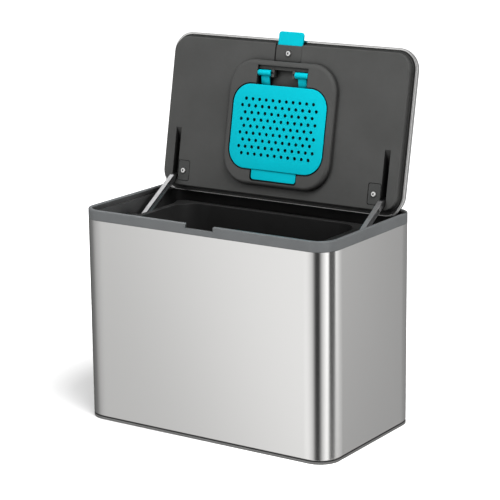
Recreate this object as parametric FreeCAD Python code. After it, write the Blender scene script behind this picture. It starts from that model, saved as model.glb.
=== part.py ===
import FreeCAD, Part
import math
import os
from FreeCAD import Vector

# Kitchen compost bin: a steel sleeve on a plastic base, with a plastic rim, a lift-out bucket and a
# steel lid on two gooseneck arms. The lid's liner carries a hinged vent cover over a carbon filter.
# Millimetres, +Z up, origin at the centre of the base's underside, front towards -Y.
# The lid and what it carries are drawn closed and then swung open about the hinge axis.

# Driving sizes of the bin
body_width = 260.0
body_depth = 149.0
corner_radius = 19.0
rim_top = 195.0
rim_band = 9.0
sheet = 0.7
fit_gap = 0.3
overrun = 5.0

# Base
base_band = 2.2
shadow_gap = 0.6
shadow_depth = 1.4
base_upstand_height = 11.0
base_wall = 2.0
casing_flange = 6.0
casing_bend = 1.2
clip_length = 12.0
clip_reach = 1.2
clip_height = 1.6
clip_x_shares = (-0.27, 0.0, 0.27)
foot_rib_height = 3.0
foot_rib_gap = 0.8

# Rim: a trim ring over an inner frame
rim_wall = 3.3
trim_wall = 1.6
trim_lip = 1.2
rim_edge_round = 0.8
rim_ledge_drop = 5.2
rim_ledge_width = 1.9
skirt_wall = 3.0
skirt_depth = 30.0
notch_side_gap = 1.8
notch_depth = 4.2

# Lift-out bucket
bucket_top = 183.4
mouth_side_inset = 34.5
mouth_front_inset = 14.5
mouth_rear_inset = 33.0
mouth_radius = 25.0
bucket_wall = 1.8
bucket_draft = 7.0
bucket_knee_height = 6.0
bucket_knee_inset = 4.0
flange_end_width = 5.5
flange_side_width = 11.5
flange_corner_radius = 8.0
flange_lip_height = 6.0
flange_lip_wall = 1.5
flange_edge_round = 0.7
scallop_depth = 5.0
scallop_length = 62.0
scallop_y = -2.0
scallop_ramp = 14.0

# Lid shell
lid_front_overhang = 0.5
lid_rear_inset = 1.5
hem_rise = 1.3
lid_height = 13.0
lid_round = 12.0
hem_lip = 2.4
hem_thickness = 0.8
open_angle = 101.0
hinge_back = 14.75
hinge_rise = 7.3
relief_gap = 0.5
sweep_middle_share = 2 / 3

# Lid liner
liner_wall = 2.0
tongue_inset = 1.0
tongue_thickness = 1.6
hem_gap = 0.8
flange_drop = 0.6
field_inset = 4.4
field_drop = 5.8
field_edge_round = 1.2

# Filter housing on the liner
boss_width = 114.0
boss_length = 114.0
boss_radius = 26.0
boss_rear_inset = 15.0
boss_drop = 12.2
boss_edge_round = 3.5
cover_width = 99.6
cover_length = 77.2
cover_radius = 18.0
cover_rear_inset = 29.3
cover_thickness = 1.8
cover_proud = 0.3
cover_gap = 1.2
cover_seat_gap = 0.2
cover_edge_round = 0.6
cavity_inset = 5.0
tray_wall = 1.6
filter_gap = 0.8
filter_thickness = 8.0
filter_air_gap = 0.4
tray_vent_count = 5
tray_vent_length = 52.0
tray_vent_width = 4.0
tray_vent_pitch = 10.0

# Vent holes and hinge of the filter cover
vent_radius = 1.5
vent_pitch = 7.2
vent_margin = 8.0
finger_tab_width = 48.0
finger_tab_length = 9.2
finger_tab_round = 3.0
finger_tab_step = 1.0
finger_tab_thickness = 1.4
finger_scoop_drop = 3.6
finger_scoop_gap = 1.4
rod_radius = 1.3
rod_run_gap = 0.08
rod_seat = 2.0
rod_ahead = 11.0
rod_rise = 0.9
hook_wall = 1.5
hook_width = 13.6
hook_centre = 19.8
hook_mouth = 2.2
hook_dip = 5.0
hook_lug_inset = 0.8
hook_lug_length = 2.8
well_length = 17.8
well_drop = 7.6
well_side_gap = 0.5
well_ledge_length = 3.4
well_ledge_drop = 2.6
cheek_thickness = 2.8
cheek_half_length = 3.5
cheek_drop = 1.4

# Hinge arms and pins
arm_flange_gap = 3.2
arm_width = 4.6
arm_depth = 5.6
arm_clear = 0.4
slot_side_gap = 0.6
pocket_wall = 1.6
pocket_roof = 0.7
eye_radius = 4.0
elbow_ahead = 16.75
elbow_round = 3.0
arm_slope = math.radians(31.8)
arm_flange = 1.1
arm_web = 1.6
foot_length = 26.0
foot_height = 22.0
foot_thickness = 3.0
foot_drop = 36.0
foot_ahead = 76.0
foot_round = 4.0
pin_radius = 1.5
pin_run_gap = 0.06
pin_fit_gap = 0.03
pin_inner_seat = 7.0
pin_outer_seat = 2.2
hinge_block_length = 14.0

# Plates, tab and screws
plate_width = 12.2
plate_length = 18.6
plate_thickness = 1.4
plate_sunk = 1.5
plate_gap = 0.45
plate_round = 1.5
plate_edge_round = 0.3
plate_rear_inset = 10.7
plate_slot_land = 0.6
post_side_gap = 0.1
post_length = 4.0
tab_width = 26.4
tab_thickness = 2.8
tab_sunk = 1.8
tab_reach = 6.8
tab_round = 3.0
tab_edge_round = 0.8
tab_gap = 0.3
retainer_width = 28.0
retainer_length = 14.6
retainer_front_inset = 5.7
retainer_thickness = 0.9
screw_head_radius = 2.4
screw_head_height = 1.5
screw_head_round = 0.7
screw_radius = 1.3
screw_length = 7.0
arm_screw_length = 5.6
screw_boss_wall = 1.6
arm_screw_pitch = 16.0

# Heights and places that follow from the sizes above
base_top = base_band + shadow_gap
casing_top = rim_top - rim_band
rim_inner = rim_wall
skirt_inner = rim_wall + rim_ledge_width
skirt_outer = skirt_inner - skirt_wall
hem_z = rim_top + hem_rise
lid_width = body_width
lid_depth = body_depth + lid_front_overhang - lid_rear_inset
lid_y = -(lid_front_overhang + lid_rear_inset) / 2
lid_rear = lid_y + lid_depth / 2
lid_front = lid_y - lid_depth / 2
lid_radius = corner_radius
lid_top = hem_z + lid_height
hinge_y = body_depth / 2 - hinge_back
hinge_z = hem_z + hinge_rise
liner_outer = hem_lip + hem_gap
field_z = hem_z - field_drop
boss_z = hem_z - boss_drop
boss_rear = body_depth / 2 - boss_rear_inset
boss_y = boss_rear - boss_length / 2
tongue_top = hem_z + hem_thickness + tongue_thickness
seat_z = boss_z + cover_thickness + cover_seat_gap - cover_proud
cover_back = seat_z - cover_seat_gap
cover_face = cover_back - cover_thickness
finger_face = cover_face + finger_tab_step
cover_rear = body_depth / 2 - cover_rear_inset
cover_front = cover_rear - cover_length
cover_y = (cover_rear + cover_front) / 2
filter_z = seat_z - cover_seat_gap + filter_air_gap
tray_floor = filter_z + filter_thickness
rod_y = cover_front - rod_ahead
rod_z = cover_back + rod_rise
hook_outer = rod_radius + rod_run_gap + hook_wall
well_half = hook_centre + hook_width / 2 + well_side_gap
well_top = boss_z + well_drop
well_front = cover_front - well_length
well_rear = cover_front + cavity_inset
cheek_outer = hook_centre - hook_width / 2 - well_side_gap
mouth_width = body_width - 2 * mouth_side_inset
arm_x = mouth_width / 2 + flange_side_width + arm_flange_gap + arm_width / 2
elbow_y = hinge_y - elbow_ahead
slot_roof = lid_top - sheet - pocket_roof
elbow_z = slot_roof - arm_clear
slot_half = arm_width / 2 + slot_side_gap
plate_outer = arm_x - slot_half - plate_slot_land
plate_inner = plate_outer - plate_width
plate_x = (plate_outer + plate_inner) / 2
plate_rear = body_depth / 2 - plate_rear_inset
plate_y = plate_rear - plate_length / 2
plate_back = field_z + plate_sunk
plate_face = plate_back - plate_thickness
foot_y = hinge_y - foot_ahead
foot_z = hinge_z - foot_drop
foot_face = body_width / 2 - skirt_inner
notch_half = tab_width / 2 + notch_side_gap
retainer_front = lid_front + retainer_front_inset
retainer_y = retainer_front + retainer_length / 2
tab_face = field_z + tab_sunk
tab_top = tab_face + tab_thickness
retainer_face = tab_face - retainer_thickness
retainer_rear = retainer_front + retainer_length
mouth_rear = body_depth / 2 - mouth_rear_inset
mouth_front = -body_depth / 2 + mouth_front_inset
mouth_y = (mouth_rear + mouth_front) / 2
mouth_depth = mouth_rear - mouth_front
x_axis = Vector(1, 0, 0)
y_axis = Vector(0, 1, 0)
z_axis = Vector(0, 0, 1)
touch = fit_gap / 10


def rounded_wire(width, depth, radius, z, x=0.0, y=0.0):
    half_x = width / 2
    half_y = depth / 2
    bow = radius * math.sqrt(0.5)
    edges = []
    for sign_x, sign_y, turned in ((1, 1, False), (-1, 1, True), (-1, -1, False), (1, -1, True)):
        centre_x = x + sign_x * (half_x - radius)
        centre_y = y + sign_y * (half_y - radius)
        side = Vector(centre_x + sign_x * radius, centre_y, z)
        middle = Vector(centre_x + sign_x * bow, centre_y + sign_y * bow, z)
        end = Vector(centre_x, centre_y + sign_y * radius, z)
        first, last = (end, side) if turned else (side, end)
        if edges:
            edges.append(Part.LineSegment(edges[-1].EndPoint, first))
        edges.append(Part.Arc(first, middle, last))
    edges.append(Part.LineSegment(edges[-1].EndPoint, edges[0].StartPoint))
    return Part.Wire([edge.toShape() for edge in edges])


def rounded_block(width, depth, radius, z_low, z_high, x=0.0, y=0.0):
    face = Part.Face(rounded_wire(width, depth, radius, z_low, x, y))
    return face.extrude(z_axis * (z_high - z_low))


def body_block(inset, z_low, z_high):
    width = body_width - 2 * inset
    depth = body_depth - 2 * inset
    return rounded_block(width, depth, corner_radius - inset, z_low, z_high)


def body_ring(outer_inset, inner_inset, z_low, z_high):
    inner = body_block(inner_inset, z_low - overrun, z_high + overrun)
    return body_block(outer_inset, z_low, z_high).cut(inner)


def lid_block(inset, z_low, z_high):
    width = lid_width - 2 * inset
    depth = lid_depth - 2 * inset
    return rounded_block(width, depth, lid_radius - inset, z_low, z_high, 0.0, lid_y)


def lid_ring(outer_inset, inner_inset, z_low, z_high):
    inner = lid_block(inner_inset, z_low - overrun, z_high + overrun)
    return lid_block(outer_inset, z_low, z_high).cut(inner)


def span_box(low, high):
    size = Vector(*high).sub(Vector(*low))
    return Part.makeBox(size.x, size.y, size.z, Vector(*low))


def drum(radius, start, direction, length):
    return Part.makeCylinder(radius, length, Vector(*start), direction)


def side_profile(points, x_low, x_high):
    corners = [Vector(x_low, y, z) for y, z in points]
    return Part.Face(Part.makePolygon(corners + corners[:1])).extrude(x_axis * (x_high - x_low))


def level_edges(shape, z):
    return [edge for edge in shape.Edges
            if abs(edge.BoundBox.ZMin - z) < touch and abs(edge.BoundBox.ZMax - z) < touch]


def upright_edges(shape, x=None, y=None):
    found = []
    for edge in shape.Edges:
        box = edge.BoundBox
        upright = box.ZLength > fit_gap and box.XLength + box.YLength < touch
        at_x = x is None or abs(abs(box.Center.x) - x) < touch
        at_y = y is None or abs(box.Center.y - y) < touch
        if upright and at_x and at_y:
            found.append(edge)
    return found


def mirrored(shape):
    return shape.mirror(Vector(0, 0, 0), x_axis)


def both_sides(shape):
    return shape.fuse(mirrored(shape))


def screw(length):
    head = drum(screw_head_radius, (0, 0, 0), z_axis, screw_head_height)
    head = head.makeFillet(screw_head_round, level_edges(head, screw_head_height))
    return head.fuse(drum(screw_radius, (0, 0, -length), z_axis, length)).removeSplitter()


def lid_screw(x, y, z):
    piece = screw(screw_length)
    piece.rotate(Vector(0, 0, 0), x_axis, 180)
    piece.translate(Vector(x, y, z))
    return piece


# Base with the neck of the shadow gap, the upstand inside the sleeve and clips over its flange
def base_plate():
    plate = body_block(0.0, 0.0, base_band)
    plate = plate.makeFillet(shadow_gap / 2, level_edges(plate, 0.0))
    plate = plate.fuse(body_block(shadow_depth, base_band, base_top))
    wall_inset = casing_flange + fit_gap
    plate = plate.fuse(body_ring(wall_inset, wall_inset + base_wall, base_top, base_upstand_height))
    clip_z = base_top + sheet + fit_gap / 2
    clip_y = body_depth / 2 - wall_inset - base_wall / 2
    for share in clip_x_shares:
        clip_x = share * body_width
        for sign in (-1, 1):
            ends = sorted((sign * clip_y, sign * (body_depth / 2 - casing_flange + clip_reach)))
            clip = span_box((clip_x - clip_length / 2, ends[0], clip_z),
                            (clip_x + clip_length / 2, ends[1], clip_z + clip_height))
            plate = plate.fuse(clip)
    foot_width, foot_depth, foot_radius = bucket_foot()
    rib_inner = foot_rib_gap + bucket_knee_inset
    rib_outer = rib_inner + base_wall
    rib = rounded_block(foot_width + 2 * rib_outer, foot_depth + 2 * rib_outer, foot_radius + rib_outer,
                        base_top, base_top + foot_rib_height, 0.0, mouth_y)
    bed = rounded_block(foot_width + 2 * rib_inner, foot_depth + 2 * rib_inner, foot_radius + rib_inner,
                        base_top, base_top + foot_rib_height + overrun, 0.0, mouth_y)
    return plate.fuse(rib.cut(bed)).removeSplitter()


# Steel sleeve with its inward flange at the foot
def steel_casing():
    outer = body_block(0.0, base_top, casing_top)
    outer = outer.makeFillet(casing_bend, level_edges(outer, base_top))
    inner = body_block(sheet, base_top, casing_top + overrun)
    inner = inner.makeFillet(casing_bend - sheet, level_edges(inner, base_top))
    inner.translate(z_axis * sheet)
    return outer.cut(inner).cut(body_block(casing_flange, base_top - overrun, base_top + overrun))


# Reach of the lid's rear edge about the hinge axis at one place across the width
def rear_reach(x):
    radius = lid_radius + relief_gap
    corner = max(abs(x) - (lid_width / 2 - lid_radius), 0.0)
    edge_y = lid_rear - lid_radius + math.sqrt(max(radius * radius - corner * corner, 0.0))
    return math.hypot(max(edge_y - hinge_y, 0.0), hinge_rise + relief_gap)


# Room for the lid's rear edge, which swings down behind the hinge axis as the lid opens
def rear_sweep():
    near = lid_width / 2 - lid_radius
    far = near + math.sqrt((lid_radius + relief_gap) ** 2 - (hinge_y - lid_rear + lid_radius) ** 2)
    middle = near + sweep_middle_share * (far - near)

    def at(x, reach):
        return Vector(x, hinge_y + reach, hinge_z)

    rim = [at(-far, rear_reach(far)), at(-middle, rear_reach(middle)), at(-near, rear_reach(near)),
           at(near, rear_reach(near)), at(middle, rear_reach(middle)), at(far, rear_reach(far))]
    edges = [Part.LineSegment(at(-far, 0.0), rim[0]), Part.Arc(rim[0], rim[1], rim[2]),
             Part.LineSegment(rim[2], rim[3]), Part.Arc(rim[3], rim[4], rim[5]),
             Part.LineSegment(rim[5], at(far, 0.0)), Part.LineSegment(at(far, 0.0), at(-far, 0.0))]
    outline = Part.Wire([edge.toShape() for edge in edges])
    return Part.Face(outline).revolve(Vector(0, hinge_y, hinge_z), x_axis, 360)


# Notch in the front of the rim, through which the closed lid's pull tab stands out
def tab_notch():
    return span_box((-notch_half, -body_depth, rim_top - notch_depth),
                    (notch_half, -body_depth / 2 + skirt_inner + overrun, rim_top + overrun))


# Visible band of the rim: a ring with a lip that caps the inner frame
def rim_trim():
    band = body_block(0.0, casing_top, rim_top)
    band = band.makeFillet(rim_edge_round, level_edges(band, rim_top))
    band = band.cut(body_block(trim_wall, casing_top - overrun, rim_top - trim_lip))
    band = band.cut(body_block(rim_inner, casing_top - overrun, rim_top + overrun))
    return band.cut(tab_notch()).cut(rear_sweep()).removeSplitter()


# Inner frame of the rim: wall under the trim's lip, ledge, skirt inside the sleeve and pads for the arms
def rim_frame():
    frame = body_ring(trim_wall, rim_inner, casing_top, rim_top - trim_lip)
    ledge_z = rim_top - rim_ledge_drop
    frame = frame.fuse(body_ring(skirt_outer, skirt_inner, casing_top - skirt_depth, ledge_z))
    pad_x = body_width / 2 - sheet - fit_gap
    pad = span_box((body_width / 2 - skirt_inner, foot_y - foot_length / 2, foot_z - foot_height / 2),
                   (pad_x, foot_y + foot_length / 2, foot_z + foot_height / 2))
    frame = frame.fuse(both_sides(pad))
    frame = frame.cut(tab_notch()).cut(rear_sweep())
    hole_length = overrun + arm_screw_length - foot_thickness
    for y in arm_screw_places():
        hole = drum(screw_radius, (foot_face - overrun, y, foot_z), x_axis, hole_length)
        frame = frame.cut(both_sides(hole))
    return frame.removeSplitter()


def bucket_foot():
    shrink = bucket_draft + bucket_knee_inset
    outer = 2 * bucket_wall - 2 * shrink
    return mouth_width + outer, mouth_depth + outer, mouth_radius + bucket_wall - shrink


def bucket_hull(grow, z_low):
    sections = []
    knee_z = base_top + bucket_knee_height
    for z, shrink in ((z_low, bucket_draft + bucket_knee_inset), (knee_z, bucket_draft), (bucket_top, 0.0)):
        spread = 2 * (grow - shrink)
        radius = mouth_radius + grow - shrink
        sections.append(rounded_wire(mouth_width + spread, mouth_depth + spread, radius, z, 0.0, mouth_y))
    return Part.makeLoft(sections, True, True)


# Cutter for one side of the bucket's flange: a long finger scallop with ramped ends
def flange_scallop(edge_x):
    inner = edge_x - scallop_depth
    half = scallop_length / 2
    front = scallop_y - half - scallop_ramp
    rear = scallop_y + half + scallop_ramp
    outline = ((edge_x + overrun, front), (edge_x, front), (inner, scallop_y - half),
               (inner, scallop_y + half), (edge_x, rear), (edge_x + overrun, rear))
    low = bucket_top - flange_lip_height - overrun
    points = [Vector(x, y, low) for x, y in outline]
    face = Part.Face(Part.makePolygon(points + points[:1]))
    cutter = face.extrude(z_axis * (flange_lip_height + 2 * overrun))
    return cutter.makeFillet(scallop_ramp / 2, upright_edges(cutter, inner) + upright_edges(cutter, edge_x))


# Lift-out bucket: tapered walls, a flange with a turned-down lip and finger scallops at both sides
def inner_bucket():
    width = mouth_width + 2 * flange_side_width
    depth = mouth_depth + 2 * flange_end_width
    lip_low = bucket_top - flange_lip_height
    flange = rounded_block(width, depth, flange_corner_radius, lip_low, bucket_top, 0.0, mouth_y)
    flange = flange.cut(both_sides(flange_scallop(width / 2)))
    flange = flange.makeFillet(flange_edge_round, level_edges(flange, bucket_top))
    step = flange_lip_wall
    core = rounded_block(width - 2 * step, depth - 2 * step, flange_corner_radius - step,
                         lip_low - overrun, bucket_top - bucket_wall, 0.0, mouth_y)
    flange = flange.cut(core.cut(both_sides(flange_scallop(width / 2 - step))))
    bucket = flange.fuse(bucket_hull(bucket_wall, base_top))
    return bucket.cut(bucket_hull(0.0, base_top + bucket_wall)).removeSplitter()


def arm_screw_places():
    return (foot_y - arm_screw_pitch / 2, foot_y + arm_screw_pitch / 2)


# Side outline of a gooseneck arm, from the eye over the elbow and down the slope to the foot
def arm_outline(grow):
    slope_y = math.cos(arm_slope)
    slope_z = math.sin(arm_slope)
    run = (elbow_y - foot_y) / slope_y
    top = (elbow_y - grow, elbow_z + grow)
    heel = (top[0] - run * slope_y, top[1] - run * slope_z)
    under = (top[0] + arm_depth * slope_z, top[1] - arm_depth * slope_y)
    under_heel = (under[0] - run * slope_y, under[1] - run * slope_z)
    return top, heel, under, under_heel


def hinge_arm():
    top, heel, under, under_heel = arm_outline(0.0)
    low_x = arm_x - arm_width / 2
    high_x = arm_x + arm_width / 2
    bar = side_profile((top, (hinge_y, hinge_z + eye_radius), (hinge_y, hinge_z - eye_radius), under,
                        under_heel, heel), low_x, high_x)
    elbow = [edge for edge in bar.Edges
             if edge.BoundBox.XLength > fit_gap and abs(edge.BoundBox.Center.y - top[0]) < fit_gap
             and abs(edge.BoundBox.Center.z - top[1]) < fit_gap]
    bar = bar.makeFillet(elbow_round, elbow)
    bar = bar.fuse(drum(eye_radius, (low_x, hinge_y, hinge_z), x_axis, arm_width))
    inset_z = arm_flange / math.cos(arm_slope)
    deep_z = arm_depth / math.cos(arm_slope) - inset_z
    upper_y = elbow_y - arm_depth
    lower_y = foot_y + foot_length / 2 + arm_flange
    upper_z = elbow_z - (elbow_y - upper_y) * math.tan(arm_slope)
    lower_z = elbow_z - (elbow_y - lower_y) * math.tan(arm_slope)
    pocket_depth = (arm_width - arm_web) / 2
    pocket = ((upper_y, upper_z - inset_z), (upper_y, upper_z - deep_z),
              (lower_y, lower_z - deep_z), (lower_y, lower_z - inset_z))
    bar = bar.cut(side_profile(pocket, low_x, low_x + pocket_depth))
    bar = bar.cut(side_profile(pocket, high_x - pocket_depth, high_x))
    foot = span_box((foot_face - foot_thickness, foot_y - foot_length / 2, foot_z - foot_height / 2),
                    (foot_face, foot_y + foot_length / 2, foot_z + foot_height / 2))
    along_x = [edge for edge in foot.Edges if edge.BoundBox.XLength > fit_gap]
    foot = foot.makeFillet(foot_round, along_x)
    web_top = foot_z + foot_height / 2
    web_low = web_top - foot_thickness
    web = span_box((low_x, foot_y - foot_length / 2 + foot_round, web_low),
                   (foot_face - foot_thickness / 2, foot_y + foot_length / 2 - foot_round, web_top))
    post = side_profile((heel, (foot_y + arm_width, heel[1] + arm_width * math.tan(arm_slope)),
                         (foot_y + arm_width, web_low), (foot_y, web_low)), low_x, high_x)
    arm = bar.fuse(post).fuse(web).fuse(foot)
    arm = arm.cut(drum(pin_radius + pin_run_gap, (low_x - overrun, hinge_y, hinge_z), x_axis,
                       arm_width + 2 * overrun))
    hole_start = foot_face - foot_thickness - overrun
    for y in arm_screw_places():
        arm = arm.cut(drum(screw_radius, (hole_start, y, foot_z), x_axis, 2 * overrun))
    return arm.removeSplitter()


def arm_screws():
    pieces = []
    for y in arm_screw_places():
        piece = screw(arm_screw_length)
        piece.rotate(Vector(0, 0, 0), y_axis, -90)
        piece.translate(Vector(foot_face - foot_thickness, y, foot_z))
        pieces += [piece, mirrored(piece)]
    return Part.makeCompound(pieces)


# Space inside the steel lid, down to a given height
def lid_room(z_low):
    room = lid_block(sheet, z_low, lid_top - sheet)
    return room.makeFillet(lid_round - sheet, level_edges(room, lid_top - sheet))


# Steel lid pan: rounded top edge and a flat hem turned in under it
def lid_cover():
    outer = lid_block(0.0, hem_z, lid_top)
    outer = outer.makeFillet(lid_round, level_edges(outer, lid_top))
    shell = outer.cut(lid_room(hem_z - overrun))
    return shell.fuse(lid_ring(0.0, hem_lip, hem_z, hem_z + hem_thickness)).removeSplitter()


# Space that an arm needs in the liner, from the closed lid to the open one
def arm_slot(grow):
    top = arm_outline(arm_clear)[0]
    exit_z = field_z - overrun
    exit_y = top[0] - (top[1] - exit_z) / math.tan(arm_slope)
    roof = slot_roof + (pocket_roof if grow else 0.0)
    eye_roof = hinge_z + eye_radius + arm_clear + grow
    rear = hinge_y + eye_radius + arm_clear + grow
    rear_roof = min(roof, eye_roof)
    points = ((exit_y - grow / math.sin(arm_slope), exit_z), (top[0] - grow, roof), (hinge_y, rear_roof),
              (rear, rear_roof), (rear, exit_z))
    half = slot_half + grow
    return side_profile(points, arm_x - half, arm_x + half)


def hinge_pin():
    start = arm_x - slot_half - pin_inner_seat
    end = arm_x + slot_half + pin_outer_seat
    return drum(pin_radius, (start, hinge_y, hinge_z), x_axis, end - start)


# Solid that carries a hinge pin on both sides of the slot, and the screw boss of its plate
def hinge_block():
    top = hinge_z + eye_radius
    low = (plate_inner, hinge_y - hinge_block_length / 2, field_z)
    high = (arm_x + slot_half + pin_outer_seat + pocket_wall, hinge_y + eye_radius + pocket_wall, top)
    boss = drum(screw_radius + screw_boss_wall, (plate_x, plate_y, field_z), z_axis,
                plate_sunk + screw_length + screw_boss_wall)
    return span_box(low, high).fuse(boss)


def hinge_block_cuts():
    radius = pin_radius + pin_fit_gap
    bore_start = arm_x - slot_half - pin_inner_seat - pin_fit_gap
    bore_end = arm_x + slot_half + pin_outer_seat + pin_fit_gap
    bore = drum(radius, (bore_start, hinge_y, hinge_z), x_axis, bore_end - bore_start)
    channel = span_box((bore_start, hinge_y - radius, field_z - overrun),
                       (arm_x, hinge_y + radius, hinge_z))
    recess = rounded_block(plate_width + 2 * plate_gap, plate_length + 2 * plate_gap,
                           plate_round + plate_gap, field_z - overrun, plate_back, plate_x, plate_y)
    hole = drum(screw_radius, (plate_x, plate_y, field_z), z_axis, plate_sunk + screw_length)
    return bore.fuse(channel).fuse(recess).fuse(hole)


# Moulded liner: captive flange, sunk field, filter housing, arm slots and the seat of the tab
def lid_liner():
    liner = lid_block(field_inset, field_z, tongue_top)
    liner = liner.makeFillet(field_edge_round, level_edges(liner, field_z))
    liner = liner.cut(lid_block(field_inset + liner_wall, field_z + liner_wall, tongue_top + overrun))
    liner = liner.fuse(lid_ring(liner_outer, field_inset + liner_wall, hem_z - flange_drop, tongue_top))
    liner = liner.fuse(lid_ring(tongue_inset, field_inset, hem_z + hem_thickness, tongue_top))
    boss = rounded_block(boss_width, boss_length, boss_radius, boss_z, field_z + liner_wall, 0.0, boss_y)
    boss = boss.makeFillet(boss_edge_round, level_edges(boss, boss_z))
    hollow = rounded_block(boss_width - 2 * liner_wall, boss_length - 2 * liner_wall,
                           boss_radius - liner_wall, boss_z + liner_wall, field_z + liner_wall + overrun,
                           0.0, boss_y)
    liner = liner.fuse(boss).cut(hollow)
    cavity_width = cover_width - 2 * cavity_inset
    cavity_length = cover_length - 2 * cavity_inset
    cavity_radius = cover_radius - cavity_inset
    tray = rounded_block(cavity_width + 2 * tray_wall, cavity_length + 2 * tray_wall,
                         cavity_radius + tray_wall, boss_z + liner_wall, tray_floor + tray_wall, 0.0, cover_y)
    seat = rounded_block(cover_width + 2 * tray_wall, cover_length + 2 * tray_wall,
                         cover_radius + tray_wall, boss_z + liner_wall, seat_z + tray_wall, 0.0, cover_y)
    scoop_rear = cover_rear + finger_tab_length + finger_scoop_gap
    scoop_half = finger_tab_width / 2 + cover_gap
    scoop_wall = span_box((-scoop_half - tray_wall, cover_rear - cavity_inset, boss_z + liner_wall),
                          (scoop_half + tray_wall, boss_rear - liner_wall,
                           boss_z + finger_scoop_drop + tray_wall))
    side = rod_seat + tray_wall
    well_wall = span_box((-well_half - side, well_front - tray_wall, boss_z + liner_wall),
                         (well_half + side, well_rear, well_top + tray_wall))
    liner = liner.fuse(tray).fuse(seat).fuse(scoop_wall).fuse(well_wall)
    room = lid_room(field_z)
    liner = liner.fuse(both_sides(hinge_block().fuse(arm_slot(pocket_wall)).common(room)))
    tab_boss = drum(screw_radius + screw_boss_wall, (0, retainer_y, field_z), z_axis,
                    tab_sunk + screw_length + screw_boss_wall)
    channel_half = retainer_width / 2 + tab_gap
    tab_bed = span_box((-channel_half - tray_wall, lid_front + field_inset, field_z),
                       (channel_half + tray_wall, retainer_rear + tab_gap + liner_wall,
                        tab_top + liner_wall))
    liner = liner.fuse(tab_boss).fuse(tab_bed)
    opening = rounded_block(cover_width + 2 * cover_gap, cover_length + 2 * cover_gap,
                            cover_radius + cover_gap, boss_z - overrun, seat_z, 0.0, cover_y)
    cavity = rounded_block(cavity_width, cavity_length, cavity_radius, seat_z - overrun, tray_floor,
                           0.0, cover_y)
    scoop = rounded_block(2 * scoop_half, scoop_rear - cover_y, finger_tab_round, boss_z - overrun,
                          boss_z + finger_scoop_drop, 0.0, (scoop_rear + cover_y) / 2)
    pad_bed = span_box((-scoop_half - overrun, cover_y - overrun, boss_z - overrun),
                       (scoop_half + overrun, cover_rear - cavity_inset, boss_z + finger_scoop_drop))
    liner = liner.cut(opening).cut(cavity).cut(scoop.cut(pad_bed))
    ledge_rear = well_front + well_ledge_length
    ledge = span_box((-well_half, well_front, boss_z - overrun),
                     (well_half, ledge_rear, boss_z + well_ledge_drop))
    well = span_box((-well_half, ledge_rear, boss_z - overrun), (well_half, well_rear, well_top))
    cheek = span_box((cheek_outer - cheek_thickness, rod_y - cheek_half_length, boss_z + cheek_drop),
                     (cheek_outer, rod_y + cheek_half_length, well_top + tray_wall))
    liner = liner.cut(ledge).cut(well).fuse(both_sides(cheek))
    for index in range(tray_vent_count):
        vent_y = cover_y + (index - (tray_vent_count - 1) / 2) * tray_vent_pitch
        liner = liner.cut(rounded_block(tray_vent_length, tray_vent_width, tray_vent_width / 2 - fit_gap,
                                        tray_floor - overrun, tray_floor + overrun, 0.0, vent_y))
    liner = liner.cut(filter_hinge_rod())
    liner = liner.cut(both_sides(arm_slot(0.0))).cut(both_sides(hinge_block_cuts()))
    tab_seat = span_box((-tab_width / 2 - tab_gap, lid_front - overrun, tab_face - overrun),
                        (tab_width / 2 + tab_gap, retainer_rear, tab_top))
    channel = span_box((-channel_half, lid_front - overrun, field_z - overrun),
                       (channel_half, retainer_rear + tab_gap, tab_face))
    tab_hole = drum(screw_radius, (0, retainer_y, field_z - overrun), z_axis,
                    overrun + tab_sunk + screw_length)
    return liner.cut(tab_seat).cut(channel).cut(tab_hole).removeSplitter()


# Small plate over the pin channel, with a post that holds the pin in
def hinge_plate():
    plate = rounded_block(plate_width, plate_length, plate_round, plate_face, plate_back, plate_x, plate_y)
    plate = plate.makeFillet(plate_edge_round, level_edges(plate, plate_face))
    radius = pin_radius + pin_fit_gap - post_side_gap
    post_x = plate_outer - post_length
    post = span_box((post_x, hinge_y - radius, plate_face + plate_thickness / 2),
                    (plate_outer, hinge_y + radius, hinge_z - pin_radius - pin_fit_gap))
    hole = drum(screw_radius, (plate_x, plate_y, plate_face - overrun), z_axis, 2 * overrun)
    return plate.fuse(post).cut(hole).removeSplitter()


def hinge_plate_screws():
    piece = lid_screw(plate_x, plate_y, plate_face)
    return Part.makeCompound([piece, mirrored(piece)])


# Soft tab that lies in a channel of the liner and stands out past the lid's front edge
def pull_tab():
    front = lid_front - tab_reach
    rear = retainer_rear - tab_gap
    tab = span_box((-tab_width / 2, front, tab_face), (tab_width / 2, rear, tab_top))
    tab = tab.makeFillet(tab_round, upright_edges(tab, None, front))
    rims = [edge for edge in tab.Edges
            if edge.BoundBox.ZLength < touch and edge.BoundBox.YMin < front + tab_round + fit_gap
            and edge.BoundBox.YMax < front + tab_round + fit_gap]
    tab = tab.makeFillet(tab_edge_round, rims)
    hem_room = lid_ring(-overrun, hem_lip + tab_gap, hem_z - flange_drop, tab_top + overrun)
    rear_half = span_box((-body_width, lid_front - tab_gap, field_z), (body_width, 0.0, tab_top + overrun))
    tab = tab.cut(hem_room.common(rear_half))
    hole_length = tab_thickness + 2 * overrun
    return tab.cut(drum(screw_radius, (0, retainer_y, tab_face - overrun), z_axis, hole_length))


def tab_retainer():
    plate = rounded_block(retainer_width, retainer_length, plate_round, retainer_face, tab_face,
                          0.0, retainer_y)
    plate = plate.makeFillet(plate_edge_round, level_edges(plate, retainer_face))
    return plate.cut(drum(screw_radius, (0, retainer_y, tab_face - overrun), z_axis, 2 * overrun))


def tab_screw():
    return lid_screw(0.0, retainer_y, retainer_face)


def carbon_filter():
    inset = cavity_inset + filter_gap
    return rounded_block(cover_width - 2 * inset, cover_length - 2 * inset, cover_radius - inset,
                         filter_z, tray_floor, 0.0, cover_y)


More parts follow.
